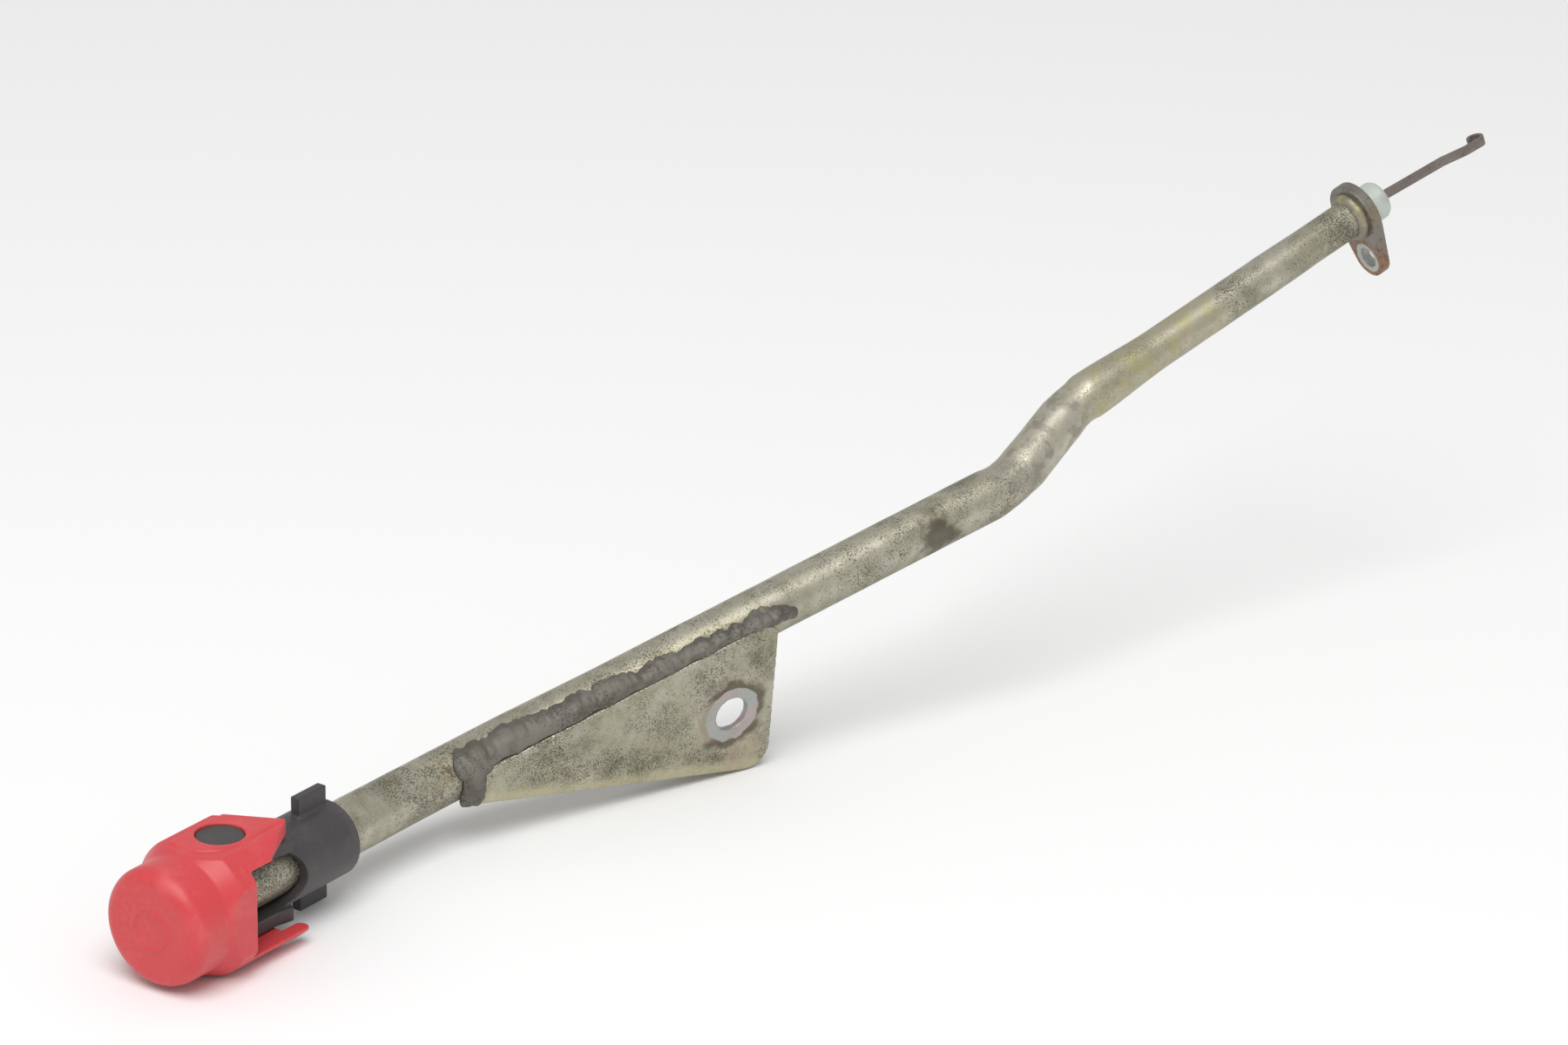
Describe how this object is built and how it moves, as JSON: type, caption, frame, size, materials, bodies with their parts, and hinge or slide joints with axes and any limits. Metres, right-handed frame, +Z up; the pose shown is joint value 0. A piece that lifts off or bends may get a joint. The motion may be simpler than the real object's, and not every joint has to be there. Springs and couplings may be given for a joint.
{
  "type": "fluid dipstick with guide tube",
  "caption": "Bent steel guide tube with a welded bracket and a bolt-on end flange, holding a fluid dipstick with a red locking lever cap on a black yoke.",
  "frame": {"origin": "on the table, under the middle of the part's plan", "axes": "+X along the cap's own axis towards the blade end, +Z up from the table, -Y the side with the bracket's face and the lever's window"},
  "size_m": [0.4098, 0.1225, 0.1197],
  "materials": {
    "red_plastic": "moulded, satin, slightly worn",
    "black_plastic": "moulded, matt",
    "zinc_steel": "aged yellow zinc, pitted and speckled",
    "weld_steel": "dull grey weld",
    "flange_steel": "heat-tinted, with rust",
    "braze_brass": "dull brass",
    "blade_steel": "dark brown blued spring steel",
    "bushing_plastic": "pale grey-green",
    "rubber": "matt",
    "inner_steel": "plain zinc"
  },
  "bodies": {
    "tube_body": {"yoke_collar": "black_plastic", "guide_tube": "zinc_steel", "mounting_bracket": "zinc_steel", "bracket_weld": "weld_steel", "lower_flange": "flange_steel", "flange_braze": "braze_brass", "seal_ring": "rubber", "end_bushing": "bushing_plastic", "thrust_button": "inner_steel", "pull_rod": "inner_steel", "upper_plug_washer": "inner_steel", "rubber_plug": "rubber", "lower_plug_washer": "inner_steel", "rod_nut": "inner_steel", "shaft_socket": "inner_steel", "flexible_shaft": "blade_steel", "blade_ferrule": "inner_steel", "dipstick_blade": "blade_steel"},
    "lever": {"lever_cap": "red_plastic"}
  },
  "joints": [
    {"name": "lever_hinge", "type": "hinge", "parent": "tube_body", "child": "lever", "pos_m": [-0.17865, 0.04614, 0.0155], "axis": [0, 0, 1], "range_deg": [0, 70]}
  ]
}
